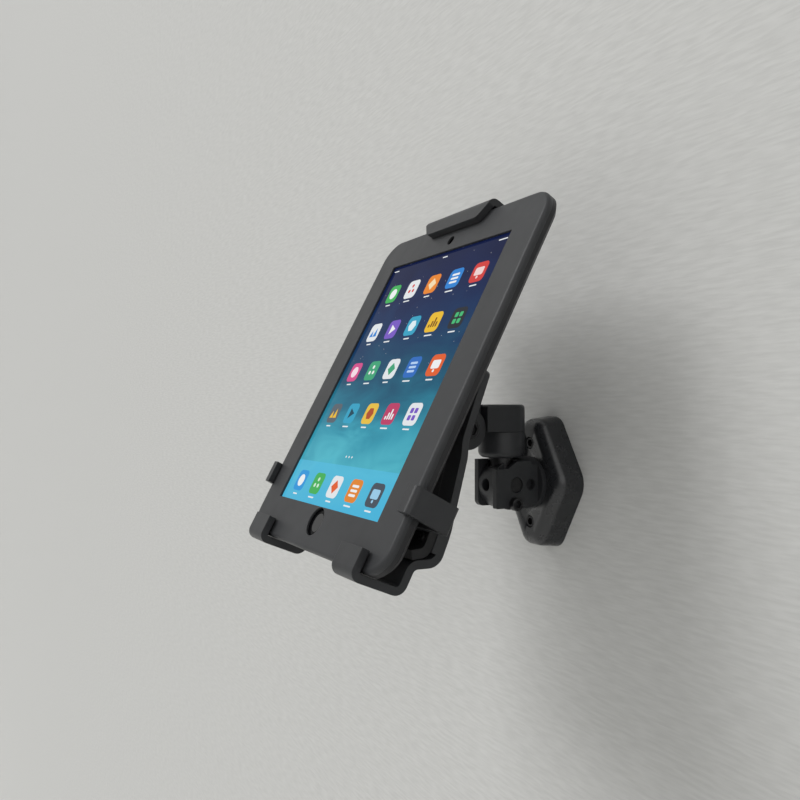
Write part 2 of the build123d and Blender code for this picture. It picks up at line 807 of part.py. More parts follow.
# Rail behind the case, seated on the frame's rims and bosses, with a tab for each guide
with BuildPart() as clip_rail:
    with BuildSketch(side_plane(0)):
        add(
            bent_profile(
                [(rail_lip_low, rail_lip_out), (rail_bend, rail_out), (rail_tab_top, rail_out)],
                [rail_bend_radius], rail_thickness
            )
        )
    extrude(amount=hook_outer, both=True)
    with BuildSketch(screen_plane(rail_outer_face)):
        add(frame_outline())
        offset(amount=-rail_inset)
        with Locations((0, rail_top + hook_outer)):
            Rectangle(4 * hook_outer, 2 * hook_outer, mode=Mode.SUBTRACT)
        for side in (-1, 1):
            with Locations((side * guide_across, rail_tab_top - hook_outer / 4)):
                Rectangle(rail_tab_width, hook_outer / 2)
    extrude(amount=rail_lip_out + sheet - rail_outer_face, mode=Mode.INTERSECT)
    with Locations(screen_plane(rail_inner_face)):
        with Locations(*rail_screw_spots):
            Hole(rail_screw_radius)
save(clip_rail, "clip_rail")

with BuildPart() as rail_screws:
    for across, along in rail_screw_spots:
        seat = Plane(
            origin=cradle.from_local_coords((across, along, rail_inner_face)),
            x_dir=(1, 0, 0), z_dir=out_direction
        )
        add(
            cap_screw(
                seat, rail_screw_head_radius, rail_screw_head_height, rail_screw_radius,
                rail_inner_face - frame_back - sheet / 2, rail_screw_radius
            )
        )
save(rail_screws, "rail_screws")

# Straps that keep the arms of the clips on the rail
foot_out = rail_inner_face + guide_sheet / 2
strap_out = clip_arm_out + clip_arm_thickness + slide_gap + guide_sheet / 2
leg_low = clip_low - slide_gap - guide_sheet / 2
leg_high = clip_low + clip_width + slide_gap + guide_sheet / 2
guide_path = [
    (leg_low - guide_foot, foot_out), (leg_low, foot_out), (leg_low, strap_out),
    (leg_high, strap_out), (leg_high, foot_out), (leg_high + guide_foot, foot_out),
]
guide_bend = guide_sheet / 2 + 0.1
with BuildPart() as clip_guides:
    for side in (-1, 1):
        with BuildSketch(side_plane(side * guide_across)):
            add(bent_profile(guide_path, [guide_bend] * 4, guide_sheet))
        extrude(amount=guide_width / 2, both=True)
save(clip_guides, "clip_guides")

# Side clips: a lip over the case's edge, a side plate and an arm that slides along the rail
clip_inner = case_half_width + clip_play
clip_outer = clip_inner + clip_sheet
clip_lip_low = clip_lip_out - clip_lip_thickness
clip_arm_low = clip_arm_out
shoe_low = rail_inner_face + slide_gap
with BuildPart() as side_clip_right:
    with BuildSketch(cross_plane(clip_middle)) as clip:
        with BuildLine():
            Polyline(
                (clip_inner - clip_lip_reach, clip_lip_low), (clip_inner, clip_lip_low),
                (clip_inner, clip_arm_low + clip_arm_thickness),
                (clip_arm_end, clip_arm_low + clip_arm_thickness), (clip_arm_end, shoe_low),
                (clip_shoe_end, shoe_low), (clip_shoe_end + clip_shoe_ramp, clip_arm_low),
                (clip_outer, clip_arm_low), (clip_outer, clip_lip_out),
                (clip_inner - clip_lip_reach, clip_lip_out), close=True
            )
        make_face()
        fillet(clip.vertices().group_by(Axis.X)[-1], clip_outer_corner)
        inner_corners = clip.vertices().filter_by_position(Axis.X, clip_inner - 0.1, clip_inner + 0.1)
        fillet(inner_corners, clip_inner_corner)
    extrude(amount=clip_width / 2, both=True)
save(side_clip_right, "side_clip_right")

with BuildPart() as side_clip_left:
    add(mirror(side_clip_right.part, about=Plane.YZ))
save(side_clip_left, "side_clip_left")

# Top hook: a forked plate that slides on the frame and folds over the case's upper edge
hook_path = [
    (leg_bottom, leg_out), (leg_top, leg_out), (top_slope_end, top_back_out),
    (top_bend, top_back_out), (top_bend, top_lip_out), (top_lip_bottom, top_lip_out),
]
with BuildPart() as top_hook:
    with BuildSketch(side_plane(0)):
        add(bent_profile(hook_path, [leg_bend, leg_bend, fold_bend, lip_bend], sheet))
    extrude(amount=hook_plate_low, both=True)
    with BuildSketch(screen_plane(leg_out - sheet)) as plan:
        with BuildLine():
            Polyline(
                (-hook_plate_low, leg_bottom), (hook_plate_low, leg_bottom),
                (hook_plate_high, top_bend), (hook_plate_high, top_bend + sheet),
                (-hook_plate_high, top_bend + sheet), (-hook_plate_high, top_bend), close=True
            )
        make_face()
        with Locations((0, leg_bottom)):
            RectangleRounded(2 * leg_inner, 2 * (fork_of_legs - leg_bottom), legs_corner, mode=Mode.SUBTRACT)
        fillet(plan.vertices().group_by(Axis.Y)[0], hook_corner)
        for side in (-1, 1):
            with Locations((side * slot_across, (slot_low + slot_high) / 2)):
                SlotOverall(slot_high - slot_low, slot_width, rotation=90, mode=Mode.SUBTRACT)
    extrude(amount=top_lip_out + 2 * sheet - leg_out, mode=Mode.INTERSECT)
    with BuildSketch(screen_plane(top_back_out + sheet)):
        with Locations((0, top_bend + sheet - top_bend / 2)):
            Rectangle(2 * hook_plate_low, top_bend)
        with BuildSketch(mode=Mode.SUBTRACT) as lip:
            with BuildLine():
                Polyline(
                    (-hook_plate_high, 2 * top_bend), (-hook_plate_high, case_top),
                    (-top_lip_half, top_lip_bottom), (top_lip_half, top_lip_bottom),
                    (hook_plate_high, case_top), (hook_plate_high, 2 * top_bend), close=True
                )
            make_face()
            fillet(lip.vertices().group_by(Axis.Y)[0], hook_corner)
    extrude(amount=-top_back_out + sheet, mode=Mode.SUBTRACT)
save(top_hook, "top_hook")

with BuildPart() as slider_screws:
    slider_seat_out = leg_out + sheet / 2 + slide_gap
    for side in (-1, 1):
        seat = Plane(
            origin=cradle.from_local_coords((side * slot_across, slider_along, slider_seat_out)),
            x_dir=(1, 0, 0), z_dir=out_direction
        )
        add(
            cap_screw(
                seat, slider_head_radius, slider_head_height, slider_screw_radius,
                2 * sheet + 2 * slide_gap, slider_screw_radius
            )
        )
save(slider_screws, "slider_screws")

# Pads between the hooks and the case
with BuildPart() as hook_pads:
    pad_low = case_bottom + pad_inset
    pad_high = hook_top - pad_inset / 2
    for side in (-1, 1):
        with BuildSketch(screen_plane(hook_lip_out - sheet / 2)):
            with Locations((side * (hook_inner + hook_outer) / 2, (pad_low + pad_high) / 2)):
                RectangleRounded(hook_outer - hook_inner - 4 * pad_inset, pad_high - pad_low, pad_inset)
        extrude(amount=-pad_thickness)
save(hook_pads, "hook_pads")

top_inner_face = top_bend - sheet / 2
with BuildPart() as top_pad:
    with BuildSketch(cross_plane(top_inner_face)):
        with Locations((0, (top_pad_low + top_pad_high) / 2)):
            RectangleRounded(2 * top_pad_half, top_pad_high - top_pad_low, pad_inset)
    extrude(amount=top_inner_face - case_top - running_gap)
save(top_pad, "top_pad")


# Outline of the tablet, larger all round by a play
def tablet_outline(play):
    with BuildSketch() as outline:
        with Locations((0, tablet_middle)):
            RectangleRounded(tablet_width + 2 * play, tablet_height + 2 * play, tablet_corner + play)
    return outline.sketch


# Protective case in two shells around the tablet
glass_out = -case_lip - tablet_play
body_out = glass_out - glass_thickness
case_split = -case_front_depth
case_back_face = case_split - case_back_depth
with BuildPart() as case_front:
    with BuildSketch(screen_plane(case_split)):
        with Locations((0, case_middle)):
            RectangleRounded(2 * case_half_width, case_height, case_corner)
    extrude(amount=case_front_depth)
    fillet(case_front.faces().sort_by(out_axis)[-1].edges(), case_edge_radius)
    with BuildSketch(screen_plane(0)):
        Rectangle(window_width, window_height)
        with Locations((0, lens_along)):
            Circle(lens_hole_radius)
        with Locations((0, button_along)):
            Circle(button_well_radius)
    extrude(amount=-case_front_depth, mode=Mode.SUBTRACT)
    with BuildSketch(screen_plane(-case_lip)):
        add(tablet_outline(tablet_play))
    extrude(amount=-case_front_depth, mode=Mode.SUBTRACT)
save(case_front, "case_front")

with BuildPart() as case_back:
    with BuildSketch(screen_plane(case_back_face)):
        with Locations((0, case_middle)):
            RectangleRounded(2 * case_half_width, case_height, case_corner)
    extrude(amount=case_back_depth)
    chamfer(case_back.faces().sort_by(out_axis)[0].edges(), case_back_chamfer)
    with BuildSketch(screen_plane(case_back_face + case_wall)):
        add(tablet_outline(tablet_play))
    extrude(amount=case_back_depth, mode=Mode.SUBTRACT)
save(case_back, "case_back")

with BuildPart() as tablet_body:
    with BuildSketch(screen_plane(body_out)):
        add(tablet_outline(0))
    extrude(amount=glass_thickness - tablet_depth)
    fillet(tablet_body.faces().sort_by(out_axis)[0].edges(), tablet_edge_radius)
    with BuildSketch(screen_plane(body_out)):
        with Locations((0, button_along)):
            Circle(button_radius + stud_clearance)
    extrude(amount=-button_well_depth, mode=Mode.SUBTRACT)
save(tablet_body, "tablet_body")

with BuildPart() as tablet_glass:
    with BuildSketch(screen_plane(body_out)):
        add(tablet_outline(0))
        with Locations((0, button_along)):
            Circle(button_radius + stud_clearance, mode=Mode.SUBTRACT)
        with Locations((0, lens_along)):
            Circle(lens_radius, mode=Mode.SUBTRACT)
    extrude(amount=glass_thickness)
save(tablet_glass, "tablet_glass")

with BuildPart() as camera_lens:
    with BuildSketch(screen_plane(body_out)):
        with Locations((0, lens_along)):
            Circle(lens_radius)
    extrude(amount=glass_thickness)
save(camera_lens, "camera_lens")

with BuildPart() as home_button:
    with BuildSketch(screen_plane(glass_out)):
        with Locations((0, button_along)):
            Circle(button_radius)
    extrude(amount=-button_height)
    fillet(home_button.faces().sort_by(out_axis)[-1].edges(), button_edge_radius)
save(home_button, "home_button")
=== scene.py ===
import json
import math

import bmesh
import bpy
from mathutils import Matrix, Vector


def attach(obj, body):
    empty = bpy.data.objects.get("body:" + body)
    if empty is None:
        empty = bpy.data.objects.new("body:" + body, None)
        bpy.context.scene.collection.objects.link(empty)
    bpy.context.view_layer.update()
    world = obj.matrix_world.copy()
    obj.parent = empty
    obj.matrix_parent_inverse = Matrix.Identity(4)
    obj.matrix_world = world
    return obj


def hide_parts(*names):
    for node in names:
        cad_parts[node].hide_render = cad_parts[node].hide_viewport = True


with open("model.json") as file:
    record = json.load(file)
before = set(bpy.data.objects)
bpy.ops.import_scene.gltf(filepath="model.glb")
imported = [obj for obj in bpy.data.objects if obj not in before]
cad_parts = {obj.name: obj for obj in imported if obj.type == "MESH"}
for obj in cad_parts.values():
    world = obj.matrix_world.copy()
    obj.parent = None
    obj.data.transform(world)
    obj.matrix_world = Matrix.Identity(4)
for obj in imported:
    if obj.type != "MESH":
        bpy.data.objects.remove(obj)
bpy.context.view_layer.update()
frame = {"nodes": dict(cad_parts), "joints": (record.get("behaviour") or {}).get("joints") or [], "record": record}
print("frame loaded:", len(frame["nodes"]), "nodes")

mm = 0.001
nodes = frame["nodes"]
joints = {joint["name"]: joint for joint in frame["joints"]}

# The cradle's own directions: across the tablet, along its screen and out of the glass
across = Vector((1, 0, 0))
along = Vector(joints["top_hook_slide"]["axis"])
out = Vector(joints["rotate"]["axis"])
hubBelowCentreMm = 6.6  # the hub bolt sits this far below the middle of the screen
screenCentre = Vector(joints["rotate"]["pos_m"]) + along * hubBelowCentreMm * mm


def onCradle(acrossMm, alongMm, outMm):
    return screenCentre + (across * acrossMm + along * alongMm + out * outMm) * mm


# sRGB hex to the linear colour that Blender works in
def linearColour(hexText):
    channels = [int(hexText[i:i + 2], 16) / 255 for i in (1, 3, 5)]
    linear = [c / 12.92 if c <= 0.04045 else ((c + 0.055) / 1.055) ** 2.4 for c in channels]
    return (*linear, 1.0)


# Adds a node, sets its options, and sets or links its inputs
def addNode(tree, kind, inputs=None, **options):
    node = tree.nodes.new(kind)
    for name, value in options.items():
        setattr(node, name, value)
    for name, value in (inputs or {}).items():
        if isinstance(value, bpy.types.NodeSocket):
            tree.links.new(value, node.inputs[name])
        else:
            node.inputs[name].default_value = value
    return node


def addObject(name, data):
    thing = bpy.data.objects.new(name, data)
    bpy.context.scene.collection.objects.link(thing)
    return thing


# A closed mesh through rings of corners in metres, with a face over each end
def skinRings(name, rings):
    mesh = bmesh.new()
    loops = [[mesh.verts.new(point) for point in ring] for ring in rings]
    for first, second in zip(loops, loops[1:]):
        for i in range(len(first)):
            j = (i + 1) % len(first)
            mesh.faces.new((first[i], first[j], second[j], second[i]))
    mesh.faces.new(loops[0][::-1])
    mesh.faces.new(loops[-1])
    bmesh.ops.recalc_face_normals(mesh, faces=mesh.faces)
    data = bpy.data.meshes.new(name)
    mesh.to_mesh(data)
    mesh.free()
    return data


def newMaterial(name):
    material = bpy.data.materials.new(name)
    material.use_nodes = True
    tree = material.node_tree
    return material, tree, tree.nodes["Principled BSDF"]


def setRamp(ramp, stops):
    elements = ramp.color_ramp.elements
    while len(elements) < len(stops):
        elements.new(0.5)
    for element, (position, colour) in zip(elements, stops):
        element.position = position
        element.color = linearColour(colour)


# What all satin finishes share: where the cloud's two tones lie, and how far it shifts the gloss
satin = {
    "shadeAt": 0.3, "colourAt": 0.7, "duller": 0.05, "glossier": 0.03,
    "cloudDetail": 3.0, "cloudRough": 0.6,
    "grainDetail": 2.0, "grainRough": 0.5, "edgeSamples": 6, "specular": 0.3,
}


# A satin surface: cloudy tone, fine grain in the bump and softly rounded edges
def satinFinish(name, look):
    material, tree, shader = newMaterial(name)
    place = addNode(tree, "ShaderNodeTexCoord").outputs["Object"]
    cloud = addNode(tree, "ShaderNodeTexNoise", {
        "Vector": place, "Scale": 1 / (look["cloudMm"] * mm), "Detail": satin["cloudDetail"],
        "Roughness": satin["cloudRough"],
    })
    tone = addNode(tree, "ShaderNodeValToRGB", {"Fac": cloud.outputs["Fac"]})
    setRamp(tone, [(satin["shadeAt"], look["shade"]), (satin["colourAt"], look["colour"])])
    gloss = addNode(tree, "ShaderNodeMapRange", {
        "Value": cloud.outputs["Fac"], "From Min": satin["shadeAt"], "From Max": satin["colourAt"],
        "To Min": look["roughness"] + satin["duller"], "To Max": look["roughness"] - satin["glossier"],
    })
    grain = addNode(tree, "ShaderNodeTexNoise", {
        "Vector": place, "Scale": 1 / (look["grainMm"] * mm), "Detail": satin["grainDetail"],
        "Roughness": satin["grainRough"],
    })
    edge = addNode(
        tree, "ShaderNodeBevel", {"Radius": look["edgeMm"] * mm}, samples=satin["edgeSamples"]
    )
    bump = addNode(tree, "ShaderNodeBump", {
        "Strength": look["grainStrength"], "Distance": look["grainDepthMm"] * mm,
        "Height": grain.outputs["Fac"], "Normal": edge.outputs["Normal"],
    })
    tree.links.new(tone.outputs["Color"], shader.inputs["Base Color"])
    tree.links.new(gloss.outputs["Result"], shader.inputs["Roughness"])
    tree.links.new(bump.outputs["Normal"], shader.inputs["Normal"])
    shader.inputs["Metallic"].default_value = look["metallic"]
    shader.inputs["Specular IOR Level"].default_value = look.get("specular", satin["specular"])
    shader.inputs["IOR"].default_value = look["ior"]
    return material


def dress(material, *names):
    for name in names:
        mesh = nodes[name].data
        mesh.materials.clear()
        mesh.materials.append(material)


# Powder coat on die-cast aluminium: an even charcoal with a faint orange peel
castBracketCoat = satinFinish("powder coated die cast aluminium", {
    "colour": "#222325", "shade": "#1e1f21", "cloudMm": 14, "roughness": 0.27, "metallic": 0.0,
    "specular": 0.5, "ior": 1.5, "grainMm": 0.9, "grainStrength": 0.3, "grainDepthMm": 0.04,
    "edgeMm": 0.6,
})
# Powder coat on machined blocks: thinner and less glossy, so the edges stay crisp
machinedKnuckleCoat = satinFinish("powder coated machined aluminium", {
    "colour": "#27282a", "shade": "#222325", "cloudMm": 9, "roughness": 0.38, "metallic": 0.0,
    "ior": 1.5, "grainMm": 0.7, "grainStrength": 0.3, "grainDepthMm": 0.04, "edgeMm": 0.6,
})
# Powder coat on bent plate: satin, rounded over every cut edge
bentPlateCoat = satinFinish("powder coated bent plate", {
    "colour": "#2d2e30", "shade": "#28292b", "cloudMm": 18, "roughness": 0.42, "metallic": 0.0,
    "ior": 1.5, "grainMm": 0.8, "grainStrength": 0.3, "grainDepthMm": 0.04, "edgeMm": 0.9,
})
# Moulded polycarbonate and ABS: spark-eroded grain, the palest of the dark pieces
mouldedCase = satinFinish("moulded PC ABS case", {
    "colour": "#333436", "shade": "#2f3032", "cloudMm": 30, "roughness": 0.45, "metallic": 0.0,
    "specular": 0.2, "ior": 1.58, "grainMm": 0.45, "grainStrength": 0.3, "grainDepthMm": 0.03,
    "edgeMm": 1.0,
})
# The same moulding as the case, made black and matt for the back shell: the black is painted shade for the dark
# gap between the case and the frame
backShellPaintedShade = satinFinish("moulded PC ABS back shell in painted shade", {
    "colour": "#1d1d1f", "shade": "#18181a", "cloudMm": 30, "roughness": 0.55, "metallic": 0.0,
    "ior": 1.58, "grainMm": 0.45, "grainStrength": 0.35, "grainDepthMm": 0.03, "edgeMm": 0.6,
})
# Glass-filled nylon: matt and slightly mottled by its fibres
mouldedNylon = satinFinish("moulded glass filled nylon", {
    "colour": "#1c1c1e", "shade": "#161617", "cloudMm": 6, "roughness": 0.62, "metallic": 0.0,
    "ior": 1.53, "grainMm": 0.5, "grainStrength": 0.4, "grainDepthMm": 0.04, "edgeMm": 0.5,
})
# Turned acetal: smooth and slightly waxy, because it slides dry
acetalDisc = satinFinish("turned acetal", {
    "colour": "#202021", "shade": "#1b1b1c", "cloudMm": 12, "roughness": 0.4, "metallic": 0.0,
    "ior": 1.48, "grainMm": 0.3, "grainStrength": 0.15, "grainDepthMm": 0.01, "edgeMm": 0.4,
})
# Black oxide on steel screws: dark metal with a dull oily sheen
blackOxideSteel = satinFinish("black oxide steel", {
    "colour": "#3a3a3b", "shade": "#2b2b2c", "cloudMm": 3, "roughness": 0.38, "metallic": 0.85,
    "ior": 1.5, "grainMm": 0.25, "grainStrength": 0.2, "grainDepthMm": 0.01, "edgeMm": 0.2,
})
# Silicone rubber pads: matt, with only a faint grain
siliconePad = satinFinish("silicone rubber", {
    "colour": "#1a1a1b", "shade": "#161617", "cloudMm": 5, "roughness": 0.78, "metallic": 0.0,
    "ior": 1.41, "grainMm": 0.3, "grainStrength": 0.2, "grainDepthMm": 0.02, "edgeMm": 0.3,
})
# Bead-blasted anodised aluminium: a fine even grey with a soft metal sheen
anodisedShell = satinFinish("bead blasted anodised aluminium", {
    "colour": "#55565a", "shade": "#505155", "cloudMm": 25, "roughness": 0.42, "metallic": 0.9,
    "ior": 1.5, "grainMm": 0.2, "grainStrength": 0.2, "grainDepthMm": 0.01, "edgeMm": 0.4,
})
# Polished glass over black: deep gloss on the home button and the camera's window
polishedBlackGlass = satinFinish("polished black glass", {
    "colour": "#101012", "shade": "#0d0d0f", "cloudMm": 20, "roughness": 0.12, "metallic": 0.0,
    "specular": 0.5, "ior": 1.52, "grainMm": 2, "grainStrength": 0.02, "grainDepthMm": 0.01,
    "edgeMm": 0.2,
})

dress(castBracketCoat, "wall_bracket")
dress(machinedKnuckleCoat, "wall_fork", "knuckle", "arm_barrel", "arm_block", "tilt_bracket")
dress(bentPlateCoat, "cradle_frame", "top_hook", "side_clip_left", "side_clip_right")
dress(mouldedCase, "case_front")
# The back shell gets the black copy of the case moulding, which is painted shade
dress(backShellPaintedShade, "case_back")
dress(mouldedNylon, "clip_rail", "clip_guides")
dress(acetalDisc, "friction_disc")
dress(
    blackOxideSteel, "wall_screws", "fork_screws", "cross_pin", "lock_screw", "friction_washers",
    "pan_stud", "set_screw", "tilt_bolt", "tilt_nut", "hub_bolt", "hub_nut", "rail_screws",
    "slider_screws",
)
dress(siliconePad, "hook_pads", "top_pad")
dress(anodisedShell, "tablet_body")
dress(polishedBlackGlass, "camera_lens", "home_button")
print("finishes done")

# The casting's full round edge: the bracket's solid, cut by an envelope with larger radii
casting = {
    "halfHeightMm": 49, "halfWidthMm": 37.7, "halfFlatMm": 11, "depthMm": 21.2, "draftDegrees": 7,
    "edgeMm": 8.5, "endCornerMm": 12, "sideCornerMm": 19, "smallestMm": 0.4, "clearMm": 0.05,
    "behindMm": 1, "cornerSteps": 14, "edgeSteps": 14, "sharpDegrees": 28,
}


# The hexagon's outline moved inwards, with an arc at each corner
def castingRing(look, inset, depth):
    slant = math.atan2(look["halfHeightMm"], look["halfWidthMm"] - look["halfFlatMm"])
    top = look["halfHeightMm"] - inset
    side = look["halfWidthMm"] - inset / math.sin(slant)
    flat = side - top / math.tan(slant)
    corners = [(flat, top), (side, 0), (flat, -top), (-flat, -top), (-side, 0), (-flat, top)]
    ring = []
    heading = 0.0
    for x, z in corners:
        isSide = abs(z) < 1e-9
        turn = math.pi - 2 * slant if isSide else slant
        cornerMm = look["sideCornerMm"] if isSide else look["endCornerMm"]
        radius = max(cornerMm - inset, look["smallestMm"])
        reach = radius * math.tan(turn / 2)
        start = (x - reach * math.cos(heading), z - reach * math.sin(heading))
        centre = (start[0] + radius * math.sin(heading), start[1] - radius * math.cos(heading))
        for step in range(look["cornerSteps"] + 1):
            angle = heading - turn * step / look["cornerSteps"]
            ring.append(Vector((
                centre[0] - radius * math.sin(angle), -depth, centre[1] + radius * math.cos(angle),
            )) * mm)
        heading -= turn
    return ring


def castingEnvelope(look):
    draft = math.radians(look["draftDegrees"])
    edge = look["edgeMm"]
    clear = look["clearMm"]
    # The edge's arc touches the drafted side and the front face
    arcDepth = look["depthMm"] - edge
    arcInset = arcDepth * math.tan(draft) + edge / math.cos(draft) - clear
    rings = [castingRing(look, -clear, -look["behindMm"])]
    for step in range(look["edgeSteps"] + 1):
        angle = draft + (math.pi / 2 - draft) * step / look["edgeSteps"]
        inset = arcInset - edge * math.cos(angle)
        rings.append(castingRing(look, inset, arcDepth + edge * math.sin(angle)))
    return addObject("casting_envelope", skinRings("casting_envelope", rings))


def roundedCasting(look):
    piece = addObject("bracket_casting", nodes["wall_bracket"].data.copy())
    envelope = castingEnvelope(look)
    cut = piece.modifiers.new("round edge", "BOOLEAN")
    cut.operation = "INTERSECT"
    cut.solver = "EXACT"
    cut.object = envelope
    bpy.context.view_layer.update()
    shaped = bpy.data.meshes.new_from_object(piece.evaluated_get(bpy.context.evaluated_depsgraph_get()))
    piece.modifiers.clear()
    piece.data = shaped
    bpy.data.objects.remove(envelope)
    shaped.materials.clear()
    shaped.materials.append(castBracketCoat)
    shaped.set_sharp_from_angle(angle=math.radians(look["sharpDegrees"]))
    for face in shaped.polygons:
        face.use_smooth = True
    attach(piece, "root")
    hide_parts("wall_bracket")
    print("casting faces:", len(shaped.polygons))


roundedCasting(casting)

# Webs of the bent frame, between its spine and its side rails: the plate is closed there
frameWeb = {
    "path": [(-78, -41.3), (-40, -37.6), (-30, -34.8), (0, -34.8)], "innerMm": 22, "sideLowMm": 80,
    "sideLowAtMm": -90, "sideHighMm": 59.2, "sideHighAtMm": 20, "railMm": 10, "thickMm": 4.2,
}


def buildWebs(look):
    slope = (look["sideHighMm"] - look["sideLowMm"]) / (look["sideHighAtMm"] - look["sideLowAtMm"])
    for name, side in (("right", 1), ("left", -1)):
        rings = []
        for height, middle in look["path"]:
            outer = look["sideLowMm"] + (height - look["sideLowAtMm"]) * slope - look["railMm"]
            low, high = middle - look["thickMm"] / 2, middle + look["thickMm"] / 2
            section = [(look["innerMm"], low), (outer, low), (outer, high), (look["innerMm"], high)]
            rings.append([onCradle(side * a, height, o) for a, o in section])
        piece = addObject(f"frame_web_{name}", skinRings(f"frame_web_{name}", rings))
        piece.data.materials.append(bentPlateCoat)
        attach(piece, "cradle")


buildWebs(frameWeb)
print("casting and webs done")

# The lit display: night sky over a pale shore of light, under polished glass with a black border
display = {
    "widthMm": 148.6, "heightMm": 197.6, "black": "#000000", "underGlass": "#0b0b0d",
    "roughness": 0.1, "ior": 1.52, "specular": 0.04, "glow": 1.0, "tileGlow": 0.9,
    "dusk": [
        (0.0, "#2fa3c6"), (0.14, "#4fb3c4"), (0.26, "#3394ab"), (0.36, "#23718a"), (0.5, "#184e6b"),
        (0.68, "#123059"), (0.85, "#0f1f4a"), (1.0, "#0d183f"),
    ],
    "sweepWidthMm": 60, "sweepStrength": 0.34, "sweepTilt": 2.2, "sweepDetail": 3.0, "sweepCurl": 0.8,
    "starMm": 7, "starSize": 0.055, "starsAbove": 0.52, "starGlow": 0.3, "starColour": "#ffffff",
    "dockColour": "#52b9df", "dockHeight": 0.155, "dockCover": 0.6,
}


# Sets the polished glass over a picture, and links the picture to its glow
def underGlass(tree, shader, look, picture, glow):
    tree.links.new(picture, shader.inputs["Emission Color"])
    shader.inputs["Base Color"].default_value = linearColour(look["underGlass"])
    shader.inputs["Emission Strength"].default_value = glow
    shader.inputs["Roughness"].default_value = look["roughness"]
    shader.inputs["Specular IOR Level"].default_value = look["specular"]
    shader.inputs["IOR"].default_value = look["ior"]


def litDisplay(look):
    material, tree, shader = newMaterial("lit display under glass")
    place = addNode(tree, "ShaderNodeTexCoord").outputs["Object"]
    fromCentre = addNode(
        tree, "ShaderNodeVectorMath", {0: place, 1: screenCentre}, operation="SUBTRACT"
    ).outputs[0]
    height, side = [
        addNode(
            tree, "ShaderNodeVectorMath", {0: fromCentre, 1: direction}, operation="DOT_PRODUCT"
        ).outputs["Value"] for direction in (along, across)
    ]
    tilted = addNode(tree, "ShaderNodeMath", {0: height, 1: look["sweepTilt"]}, operation="MULTIPLY")
    sweepPlace = addNode(tree, "ShaderNodeCombineXYZ", {"X": side, "Y": tilted.outputs[0]})
    wave = addNode(tree, "ShaderNodeTexNoise", {
        "Vector": sweepPlace.outputs[0], "Scale": 1 / (look["sweepWidthMm"] * mm),
        "Detail": look["sweepDetail"], "Distortion": look["sweepCurl"],
    })
    level = addNode(tree, "ShaderNodeMapRange", {
        "Value": height,
        "From Min": -look["heightMm"] / 2 * mm, "From Max": look["heightMm"] / 2 * mm,
    }).outputs["Result"]
    lift = addNode(tree, "ShaderNodeMath", {
        0: wave.outputs["Fac"], 1: look["sweepStrength"], 2: level,
    }, operation="MULTIPLY_ADD")
    centred = addNode(
        tree, "ShaderNodeMath", {0: lift.outputs[0], 1: look["sweepStrength"] / 2}, operation="SUBTRACT"
    )
    dusk = addNode(tree, "ShaderNodeValToRGB", {"Fac": centred.outputs[0]})
    setRamp(dusk, look["dusk"])

    # Faint stars in the upper part of the sky
    cells = addNode(tree, "ShaderNodeTexVoronoi", {
        "Vector": fromCentre, "Scale": 1 / (look["starMm"] * mm),
    })
    star = addNode(tree, "ShaderNodeMath", {
        0: cells.outputs["Distance"], 1: look["starSize"],
    }, operation="LESS_THAN")
    high = addNode(tree, "ShaderNodeMath", {0: level, 1: look["starsAbove"]}, operation="GREATER_THAN")
    highStar = addNode(
        tree, "ShaderNodeMath", {0: star.outputs[0], 1: high.outputs[0]}, operation="MULTIPLY"
    )
    faint = addNode(
        tree, "ShaderNodeMath", {0: highStar.outputs[0], 1: look["starGlow"]}, operation="MULTIPLY"
    )
    starred = addNode(tree, "ShaderNodeMix", {
        0: faint.outputs[0], 6: dusk.outputs["Color"], 7: linearColour(look["starColour"]),
    }, data_type="RGBA")

    # The dock's pale band along the bottom
    low = addNode(tree, "ShaderNodeMath", {0: level, 1: look["dockHeight"]}, operation="LESS_THAN")
    cover = addNode(
        tree, "ShaderNodeMath", {0: low.outputs[0], 1: look["dockCover"]}, operation="MULTIPLY"
    )
    docked = addNode(tree, "ShaderNodeMix", {
        0: cover.outputs[0], 6: starred.outputs[2], 7: linearColour(look["dockColour"]),
    }, data_type="RGBA")

    # The glass is black outside the display, behind the case's front
    inside = 1.0
    for distance, sizeMm in ((side, look["widthMm"]), (height, look["heightMm"])):
        size = addNode(tree, "ShaderNodeMath", {0: distance}, operation="ABSOLUTE")
        within = addNode(
            tree, "ShaderNodeMath", {0: size.outputs[0], 1: sizeMm / 2 * mm}, operation="LESS_THAN"
        )
        inside = addNode(
            tree, "ShaderNodeMath", {0: within.outputs[0], 1: inside}, operation="MULTIPLY"
        ).outputs[0]
    picture = addNode(tree, "ShaderNodeMix", {
        0: inside, 6: linearColour(look["black"]), 7: docked.outputs[2],
    }, data_type="RGBA")
    underGlass(tree, shader, look, picture.outputs[2], look["glow"])
    return material


dress(litDisplay(display), "tablet_glass")
print("display done")

